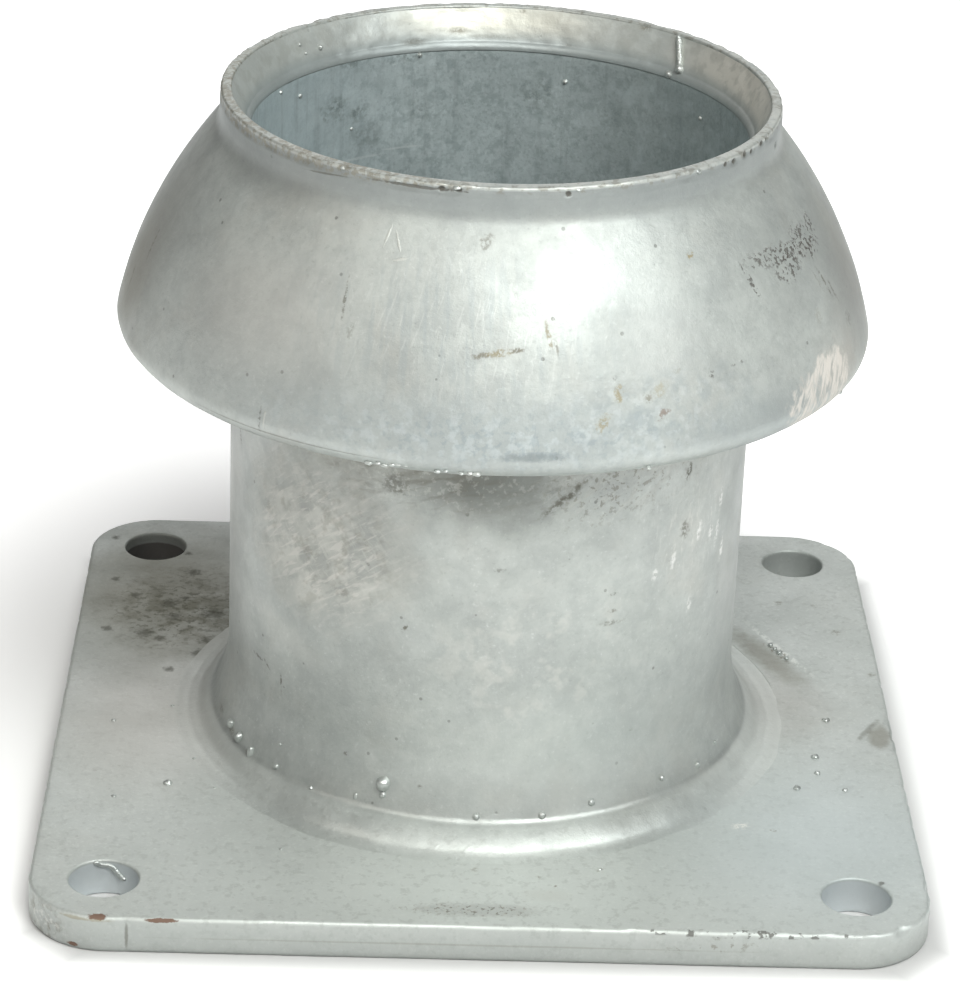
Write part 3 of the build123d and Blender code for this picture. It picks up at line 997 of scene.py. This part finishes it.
def lip_wear(f):
    """Fine cracks round the lip's outer edge and the skirt's, and the pits of LIP_PITS."""
    cracks = f.spot(-17, 148.0, 14, 0.35, ragged=0.8, grain=1.6)
    f.mark(cracks, PIT, 0.7, 0.6, rise=-0.1)
    f.mark(f.spot(-37, 146.9, 8, 0.22, 4, ragged=0.6, grain=2), SOIL, 0.5, rise=-0.06)
    f.mark(f.spot(-34, 100.6, 26, 0.22, 0, ragged=0.5, grain=3), SOIL, 0.35, rise=-0.05)
    for bearing, height, half in LIP_PITS:
        pit = f.spot(bearing, height, 1.3 * half, 0.9 * half, ragged=0.4, grain=0.6)
        f.mark(pit, PIT, 0.9, 0.6)


def pitted_cluster(f):
    """Small dark pits crowded along a band that thickens to the right, with a tail at its left."""
    pits = f.grains(0.9, 0.50, 0.57, 91.0)
    for bearing, height, along, up, tilt in (
        (57, 129.9, 18, 2.4, -5), (65, 129.6, 8, 4.0, -8), (56, 127.5, 7, 3.0, 0),
        (45.6, 128.2, 0.9, 4.6, 22), (70, 131.5, 2.0, 3.0, 0),
    ):
        crowd = f.spot(bearing, height, along, up, tilt, soft=0.5, ragged=0.5, grain=2.0)
        f.mark(f.times(crowd, pits), (0.075, 0.07, 0.062), 0.85, 0.5, rise=-0.08)


def shell_finish():
    """The ball: a pitted cluster and a chalky patch at its right, rust spots and scratches."""
    f = zinc_ground("galvanised_shell", FLANK_R + FLANK_CENTRE[0] - 5, 200.0)
    neck_shade_and_lip_tone(f)
    ball_tone_light_and_shade(f)
    pitted_cluster(f)
    chalky_patch(f)
    ball_specks(f)
    lip_wear(f)
    return f.done(rough=(0.50, 0.62))


def weld_finish():
    """The welds: dark toes at the left, a dirty stretch inside the back of the rim, painted light
    on the back of the rim and on the sides of the foot weld's lower run, painted shade down into
    the bore.
    """
    f = zinc_ground("galvanised_weld", pale=TUBE_PALE, deep=TUBE_DEEP)
    painted_light_at_foot(f)
    plate_tone_light_and_shade(f)
    # painted light on the foot weld's lower run away from the front
    beside = f.ramp(f.y, -50, -20)
    low_run = f.ramp(f.from_axis(), FOOT_CREST[0], FOOT_CREST[0] + 1.0)
    f.mark(f.times(beside, low_run), (0.70, 0.72, 0.69), 0.35, 0.25)
    height = f.z
    band = f.ramp(height, rim_low.z - 1.8, rim_low.z - 0.5)
    f.mark(band, PLATE_PALE, 0.50, 0.12)
    f.mark(f.patch((50, 14, 146), (24, 40, 9), soft=0.8), (0.78, 0.75, 0.68), 0.80)
    f.flecks(band, 3.5, 0.46, 0.62, 51, (0.36, 0.37, 0.34), 0.35)
    # painted shade where the rim band runs down into the bore
    shade_to_bore = f.times(band, f.ramp(height, rim_low.z + 3.4, rim_low.z + 0.4))
    f.mark(shade_to_bore, (0.30, 0.34, 0.345), 0.70)
    for place, half, colour, amount in (
        ((-8.6, 52.2, 144.4), (3.4, 3, 1.1), UMBER, 0.75),
        ((-18.7, 48.9, 142.6), (5, 3, 1.2), SOIL, 0.6),
        ((-2, 53, 143.2), (12, 3, 0.8), UMBER, 0.45),
        ((5.3, 53.8, 148.4), (1.2, 1, 0.7), SOIL, 0.7),
        ((15.6, 49.8, 142.6), (2.0, 2, 0.8), SOIL, 0.5),
        ((31.2, 44.3, 148.6), (2.4, 2, 0.8), UMBER, 0.7),
        ((-52.4, -22.6, 13), (1.6, 3.4, 1.2), SOIL, 0.6),
        ((-55.2, -14, 13.6), (1.6, 3, 1.0), SOIL, 0.45),
        ((-48.6, -30.2, 12.4), (1.6, 1.6, 0.9), SOIL, 0.45),
        ((3.9, -62.5, 8.9), (1.3, 0.5, 0.6), PIT, 0.6),
        ((-12.6, -53.6, 18.4), (0.7, 1, 0.6), SOIL, 0.6),
    ):
        spot = f.patch(place, half, soft=0.8, ragged=0.9, grain=0.9)
        f.flecks(spot, 0.9, 0.36, 0.54, 0, colour, amount, 0.5)
    wiped = f.ramp(f.noise(1.0, on=f.within(f.place, (7, 7, 0.7))), 0.48, 0.62)
    f.mark(f.times(f.patch((-4, 52, 146.5), (30, 6, 3)), wiped), CHALK, 0.6)
    # painted light on the back of the rim band
    f.mark(f.patch((-2, 53, 147), (34, 12, 5), soft=0.8), (0.66, 0.62, 0.50), 0.35)
    return f.done()


def plate_walls(f):
    """The plate's walls: painted shade on them all round but at the left, pale in the front holes,
    soiled at the front left.
    """
    # painted shade on the plate's walls, all but its left side
    low_wall = f.ramp(f.z, PLATE_TOP - 0.4, PLATE_TOP - 1.0)
    beyond_left = f.ramp(f.x, -89.5, -86.0)
    f.mark(f.times(low_wall, beyond_left), (0.33, 0.35, 0.34), 0.44)
    for side in (-BOLT_REACH, BOLT_REACH):
        hole = f.patch((side, -BOLT_REACH, 4), (13, 13, 30), soft=0.1)
        f.mark(f.times(low_wall, hole), (0.66, 0.71, 0.74), 0.65)
    corner = f.patch((-86, -84, 3.5), (8, 8, 6), soft=0.6, ragged=0.3, grain=3)
    f.flecks(corner, 2.2, 0.46, 0.62, 141, UMBER, 0.50, 0.3)
    f.flecks(corner, 1.2, 0.52, 0.62, 143, (0.72, 0.72, 0.68), 0.40)


def soil_behind(f):
    """Soil at the back left of the plate: a fine crust with darker clots."""
    dirty = f.patch((-67, 43, 8), (24, 27, 4), ragged=0.4, grain=7, soft=0.9)
    f.flecks(dirty, 6.0, 0.40, 0.62, 101, (0.17, 0.165, 0.11), 0.55, 0.5)
    f.flecks(dirty, 1.5, 0.50, 0.64, 103, (0.12, 0.12, 0.085), 0.60, 0.5)
    for x, y, size in (
        (-84.7, 79.1, 1.4), (-65.4, 61.9, 2.2), (-77.8, 49.4, 2.0), (-68.5, 39.2, 2.4),
        (-69.6, 45.6, 3.2), (-82.9, 32.6, 2.0), (-82.9, 57.2, 1.5), (-67, 71.6, 1.3),
        (-59.6, 41.2, 3.6), (-61.7, 21.6, 2.8), (-67.9, 13.7, 1.6), (-74.4, 31, 3.0),
        (-70.8, 28.3, 2.0), (-66.3, 48.3, 1.6), (-60.5, 27.9, 2.4),
    ):
        clot = f.patch((x, y, 8), (size, size, 3), soft=0.9, ragged=1.0, grain=1.2)
        f.mark(clot, (0.065, 0.065, 0.045), 0.55, 0.6)


def plate_wear_and_dent_shade(f):
    """Rust at the front left, painted shade in the dent, flecks and crust along the groove, chips
    along the front right.
    """
    for place, half in (
        ((-75, -89.2, 7.7), (2.2, 1.0, 0.7)), ((-62.6, -89.8, 7.6), (3.4, 0.6, 0.6)),
        ((-80, -88.6, 1.1), (1.3, 1.6, 0.6)),
    ):
        f.mark(f.patch(place, half, soft=0.3, ragged=0.6, grain=1.0), RUST, 0.9, 1.0, rise=-0.1)
    f.mark(f.patch((-78, -88.6, 7.2), (9, 2.5, 0.5), ragged=0.6, grain=1.5), OCHRE, 0.5, 0.4)
    # painted shade in the dent on the right, darkest along its left edge
    dent = f.patch((86.8, -8.5, 7.6), (3.2, 7.5, 3), -8, soft=0.6, ragged=0.4, grain=2)
    f.mark(dent, UMBER, 0.55, 0.3)
    dent_edge_shade = f.patch((84.2, -6.2, 7.6), (8.2, 1.0, 3), 61, soft=0.8, ragged=0.5, grain=2)
    f.mark(dent_edge_shade, SOIL, 0.45, 0.3)
    ridge = f.patch((68.4, 31.2, 8), (20, 0.9, 3), -63, soft=0.8, ragged=0.5, grain=1.2)
    f.flecks(ridge, 1.2, 0.38, 0.54, 127, (0.75, 0.77, 0.74), 0.75)
    crust = f.patch((68.0, 29.5, 8), (7, 1.6, 3), -63, soft=0.7, ragged=0.6, grain=1.2)
    f.flecks(crust, 0.9, 0.50, 0.58, 131, UMBER, 0.70)
    chips = f.patch((52, -89.8, 7.9), (27, 1.4, 1.3), soft=0.3)
    f.flecks(chips, 2.0, 0.54, 0.60, 107, PIT, 0.75, 0.6)
    f.flecks(f.patch((45, -90, 5), (14, 2, 3), soft=0.7), 1.6, 0.56, 0.64, 0, UMBER, 0.5)


def front_marks(f):
    """A scuff and pale marks near the plate's front, and the line and the notch on its edge."""
    f.mark(f.patch((-1, -83.5, 8), (16, 3, 2), ragged=0.5, grain=2.0), (0.30, 0.31, 0.30), 0.30)
    scuff = f.patch((-2, -83.5, 8), (18, 3.2, 2), soft=0.6, ragged=0.4, grain=2)
    f.flecks(scuff, 0.9, 0.55, 0.63, 109, UMBER, 0.65, rise=-0.08)
    f.flecks(scuff, 0.9, 0.57, 0.64, 113, CHALK, 0.65, rise=0.05)
    f.mark(f.patch((13, -77.5, 8), (7, 3.5, 2), soft=0.8, ragged=0.5, grain=2.5), CHALK, 0.35)
    speckle = f.grains(1.0, 0.40, 0.56, 7.0)
    bright = f.patch((53.6, -48.4, 8), (2.6, 1.7, 2), 20, soft=0.8, ragged=0.8, grain=0.9)
    f.mark(f.times(bright, speckle), (0.8, 0.8, 0.76), 0.9)
    notch = f.patch((EDGE_NOTCH_X, -90, 4), (0.5, 1.5, 4), soft=0.6, ragged=0.3, grain=1.5)
    f.mark(notch, SOIL, 0.5)
    line = f.patch((-5, -90, EDGE_LINE_Z), (75, 1.5, 0.3), soft=0.6, ragged=0.5, grain=5)
    f.mark(line, UMBER, 0.25)


def plate_specks(f):
    """Small brown marks on the plate, painted shade inside one bolt hole, a chip by another."""
    speckle = f.grains(1.0, 0.40, 0.56, 7.0)
    for x, y, size, amount in (
        (60.3, -49.7, 0.9, 0.6), (-44.3, -47.6, 1.4, 0.35), (24, -67.3, 1.2, 0.35),
        (-1.3, -68.2, 1.2, 0.3), (11.5, -70.6, 0.8, 0.5), (15, -73.9, 0.6, 0.6),
        (82, 40, 1.6, 0.4), (88, 20, 1.4, 0.4), (70, 54, 1.5, 0.35), (78, 53, 1.2, 0.35),
    ):
        spot = f.patch((x, y, 8), (size, size, 2), soft=0.8, ragged=0.9, grain=0.9)
        f.mark(f.times(spot, speckle), UMBER, 1.3 * amount, 0.3)
    # painted shade inside the back-left bolt hole
    hole_shade = f.patch((-BOLT_REACH, BOLT_REACH, 3.2), (8.2, 8.2, 4.8), soft=0.05)
    f.mark(hole_shade, (0.10, 0.09, 0.085), 0.85, 0.7)
    f.mark(f.patch((80.6, -69.6, 7.7), (0.9, 0.9, 0.8), ragged=0.5, grain=1), PIT, 0.7, 0.5)


def plate_finish():
    """The plate: soil behind at its left, rust at a front corner, chipped edges, painted shade in
    its dent, by its groove and on its walls, painted light on its top.
    """
    f = zinc_ground("galvanised_plate")
    plate_tone_light_and_shade(f)
    plate_walls(f)
    soil_behind(f)
    plate_wear_and_dent_shade(f)
    front_marks(f)
    plate_specks(f)
    return f.done(0.45, (0.50, 0.64))


def drop_finish():
    """Smooth, bright zinc of the drops that froze as the part was lifted from the bath."""
    f = zinc_ground("galvanised_drops", pale=(0.52, 0.55, 0.53), deep=(0.42, 0.45, 0.44))
    return f.done(0.6, (0.34, 0.46))


# ---- camera, light and floor ----
VIEW_DISTANCE = 0.7862
VIEW_ELEVATION = math.radians(25.30)
VIEW_YAW = math.radians(1.59)
VIEW_ROLL = math.radians(2.26)
AIM_SIDE, AIM_HEIGHT = -0.00027, 0.05787
LENS = 133.9
LENS_SHIFT = -0.0045


def camera():
    """Looks at the part from the front, a little from above, with a long lens."""
    data = bpy.data.cameras.new("front_view")
    made = placed("front_view", data)
    aim = Matrix.Translation((0, 0, AIM_HEIGHT)) @ Matrix.Rotation(-VIEW_YAW, 4, "Z")
    aside = Matrix.Translation((AIM_SIDE, 0, 0))
    lean = Matrix.Rotation(math.pi / 2 - VIEW_ELEVATION, 4, "X")
    roll = Matrix.Rotation(VIEW_ROLL, 4, "Z")
    made.matrix_world = aim @ aside @ lean @ roll @ Matrix.Translation((0, 0, VIEW_DISTANCE))
    data.sensor_fit = "VERTICAL"
    data.sensor_height = 36
    data.lens = LENS
    data.shift_x = LENS_SHIFT
    data.clip_end = 20
    bpy.context.scene.camera = made


def softbox(name, azimuth, elevation, distance, width, power, colour=(1, 1, 1)):
    """A square light aimed at the part; azimuth is a bearing."""
    data = bpy.data.lights.new(name, "AREA")
    data.size = width
    data.energy = power
    data.color = colour
    made = placed(name, data)
    side, up = polar((0, 0), 1, elevation)
    across, away = polar((0, 0), side, azimuth - 90)
    back = Vector((across, away, up))
    target = Vector((0, 0, 0.08))
    made.location = target + back * distance
    made.rotation_euler = back.to_track_quat("Z", "Y").to_euler()


def studio():
    """A dim room, a key and a fill softbox in front, one behind and a faint one at the left."""
    world = bpy.data.worlds.new("studio")
    world.use_nodes = True
    bpy.context.scene.world = world
    background = world.node_tree.nodes["Background"]
    background.inputs["Color"].default_value = (0.95, 1.0, 0.98, 1)
    background.inputs["Strength"].default_value = 0.08
    softbox("key", 14, 48, 0.95, 0.55, 7.2, (1.0, 1.0, 0.96))
    softbox("fill", 42, 45, 0.95, 0.50, 3.8, (0.96, 1.0, 1.0))
    softbox("left", -50, 40, 0.95, 0.45, 1.25, (1.0, 0.93, 0.86))
    softbox("back", 178, 30, 1.10, 0.90, 3.4)


# moves the floor's painted shadow towards the right and the front
SHADE_SHIFT = (-0.0018, 0.0012, 0.0)
PLATE_REACH = PLATE_HALF * MM
# sum of the distances from both centre lines, at the middle of the plate's rounded corner
CORNER_REACH = 2 * (PLATE_HALF - PLATE_CORNER_R * (1 - math.sqrt(0.5))) * MM


def floor():
    """White paper with a painted glow further out; a painted shadow makes it grey under the plate
    and close beside it.
    """
    paper = Finish("paper")
    place = paper.node("TexCoord", {}, "Object")
    moved = paper.vector("ADD", place, SHADE_SHIFT)
    x, y = (paper.math("ABSOLUTE", part) for part in paper.split(moved)[:2])
    square = paper.math("DIVIDE", paper.math("MAXIMUM", x, y), PLATE_REACH)
    cut = paper.math("DIVIDE", paper.math("ADD", x, y), CORNER_REACH)
    # painted shadow under and close beside the plate
    beside = paper.ramp(paper.math("MAXIMUM", square, cut), 0.97, 1.07)
    painted_glow = paper.times(beside, paper.ramp(paper.length(place), 0.08, 0.18, 0.05, 0.62))
    paper.link(paper.ramp(beside, 0.0, 1.0, 0.55, 0.93), "Base Color")
    paper.link(painted_glow, "Emission Strength")
    paper.surface.inputs["Emission Color"].default_value = (1, 1, 1, 1)
    paper.surface.inputs["Roughness"].default_value = 0.9
    paper.surface.inputs["Specular IOR Level"].default_value = 0.1

    half = 3.0
    mesh = bpy.data.meshes.new("floor")
    sheet = [(-half, -half, 0), (half, -half, 0), (half, half, 0), (-half, half, 0)]
    mesh.from_pydata(sheet, [], [(0, 1, 2, 3)])
    mesh.materials.append(paper.material)
    placed("floor", mesh)


# ---- everything together ----
def plate_drops(finish):
    """Frozen zinc spatter on the plate's top face, and a thin run inside one bolt hole."""
    spots = [
        plate_spot(*spot)
        for spot in (
            (-78.1, -10.2, 1.1, 0.5), (-64.8, -36.7, 1.9, 0.9), (-75.5, -42.6, 1.2, 0.5),
            (75.8, -1.9, 1.7, 0.8), (71.9, -18.5, 1.7, 0.9), (71.7, -25.4, 1.3, 0.7),
            (66.8, -32.0, 1.6, 0.7), (76.9, -32.3, 1.2, 0.5), (-66, -3, 0.9, 0.4),
            (66.5, 33.2, 1.2, 0.5), (68.2, 29.6, 1.4, 0.6), (69.6, 27.0, 1.0, 0.5),
            (67.4, 31.4, 0.9, 0.4), (-40.3, -62.2, 0.9, 0.4), (24, -67, 0.9, 0.4),
            (-60, -26, 0.8, 0.4), (-55, -38, 0.7, 0.3),
        )
    ]
    for share in np.linspace(0, 1, 24):
        turn = math.radians(-16 + 44 * share)
        out = Vector((math.sin(turn), math.cos(turn), 0))
        fall = 1.2 * share + 1.9 * share**2 + 0.25 * math.sin(9 * share)
        place = Vector((-BOLT_REACH, -BOLT_REACH, 7.3 - fall)) + out * BOLT_R
        spots.append((place, -out, 1.5, 0.45, 0.7))
    drops("zinc_spatter_plate", spots, finish, "galvanised_plate", 21)


def foot_drops(finish):
    """Droplets that ran down the tube and froze along the foot weld."""
    spots = [
        round_spot(*spot)
        for spot in (
            (-21.2, 17.6, 55.1, 3.0, 1.5, 1.15), (-21.0, 15.4, 55.8, 1.4, 0.8, 1.0),
            (-68.0, 14.0, 56.6, 1.8, 0.9, 1.2), (-62.8, 13.4, 56.8, 1.9, 1.0, 1.2),
            (-57.0, 12.6, 57.0, 1.7, 0.9, 1.6), (-48.0, 13.4, 56.8, 1.2, 0.7, 1.0),
            (-37.6, 12.6, 57.0, 1.0, 0.6, 1.0), (-27.0, 13.6, 56.4, 1.1, 0.5, 1.8),
            (-1.0, 13.5, 56.8, 1.4, 0.7, 1.0), (12.6, 13.4, 56.8, 1.6, 0.7, 1.0),
            (23.6, 14.6, 56.3, 1.5, 0.7, 1.0), (41.8, 15.2, 56.2, 1.1, 0.5, 1.2),
            (53.2, 14.0, 56.6, 1.3, 0.6, 1.2), (61.8, 15.4, 56.0, 0.9, 0.4, 1.0),
            (-54.3, 20.6, 54.0, 0.9, 0.5, 1.0), (-48.9, 17.6, 55.0, 0.9, 0.5, 1.0),
            (-71, 19, 54.6, 0.8, 0.4, 1.0), (-66, 22, 53.9, 0.7, 0.4, 1.0),
            (-75, 16, 55.4, 0.9, 0.5, 1.0),
        )
    ]
    drops("zinc_beads_foot", spots, finish, "galvanised_weld", 22)


def inner_drops(finish):
    """Beads on the inside of the rim and the bore, with one long run down the rim weld."""
    spots = [
        round_spot(bearing, height, radius, width, -rise, 1.0)
        for bearing, height, radius, width, rise in (
            (-127.8, 146.5, 52.9, 0.9, 0.5), (-133.9, 144.8, 52.1, 1.2, 0.6),
            (-128.9, 144.6, 52.0, 0.7, 0.4), (-116.3, 139.4, 50.5, 1.0, 0.5),
            (-124.8, 136.5, 50.5, 1.1, 0.6), (162.9, 134.7, 50.5, 1.2, 0.6),
            (122.5, 134.8, 50.5, 1.0, 0.5), (-160.9, 139.9, 50.5, 1.2, 0.6),
            (134.6, 141.4, 50.6, 1.7, 0.9), (-142.6, 125.5, 50.5, 0.9, 0.4),
        )
    ]
    for share in np.linspace(0, 1, 26):
        bearing, height, radius = 135.0 - 2.6 * share, 148.2 - 4.6 * share, 53.6 - 2.0 * share
        spots.append(round_spot(bearing, height, radius, 1.3, -0.7, 1.8))
    spots.append(round_spot(131.9, 143.0, 51.3, 2.0, -1.1, 1.0))
    drops("zinc_run_rim", spots, finish, "galvanised_weld", 23)


def skirt_drops(finish):
    """Small tears of zinc along the skirt's lower edge, most of them at the front left."""
    rng = random.Random(24)
    spots = []
    bearings = (-18.7, -17.2, -16.4, -15.2, -14.4, -13.2, -8.6, -7.4, -5.2, -4.0, -3.0, 22.0, 64.0)
    for bearing in bearings:
        radius = 76.3 + rng.uniform(-0.3, 0.2)
        width = rng.uniform(0.9, 1.8)
        height = 99.3 + rng.uniform(-0.3, 0.5)
        spots.append(round_spot(bearing, height, radius, width, 0.6, 0.5, -20))
    drops("zinc_tears_skirt", spots, finish, "galvanised_shell", 25)


def lip_drops(finish):
    """Nibs and burrs of zinc on the lip."""
    spots = []
    for bearing, radius, width, rise in (
        (-33.5, 55.9, 1.2, 0.35), (-9.5, 56.0, 1.6, 0.3), (14, 56.1, 1.2, 0.3),
        (41, 56.0, 1.6, 0.4), (-21, 56.0, 1.4, 0.3), (76, 55.2, 1.1, 0.35),
    ):
        spots.append(round_spot(bearing, LIP_Z - 0.75, radius, width, rise, 1.0, 60))
    drops("zinc_nibs_lip", spots, finish, "galvanised_shell", 26)


def build():
    """Every piece of the object: the plate, the pieces turned round the axis, the drops."""
    tube, tube_slot = tube_finish(), "galvanised_tube"
    shell, shell_slot = shell_finish(), "galvanised_shell"
    weld, weld_slot = weld_finish(), "galvanised_weld"
    piece("flange_plate", *plate_mesh(), plate_finish(), "galvanised_plate", "base_flange")
    for name, outline, turns, relief, finish, slot, node in (
        ("tube_wall", tube_outline, 360, tube_relief, tube, tube_slot, "pipe_stub"),
        ("ball_skirt", shell_outline, 560, shell_relief, shell, shell_slot, "ball_shell"),
        ("rim_weld_bead", rim_outline, 480, rim_relief, weld, weld_slot, "rim_weld"),
        ("foot_weld_bead", foot_outline, 480, foot_relief, weld, weld_slot, "foot_weld"),
        ("root_weld_bead", root_outline, 240, root_relief, weld, weld_slot, "root_weld"),
    ):
        piece(name, *lathe(outline(), turns, relief), finish, slot, node)
    bright = drop_finish()
    plate_drops(bright)
    foot_drops(bright)
    inner_drops(bright)
    skirt_drops(bright)
    lip_drops(bright)


camera()
studio()
floor()
build()
bpy.context.scene.view_settings.view_transform = "Standard"
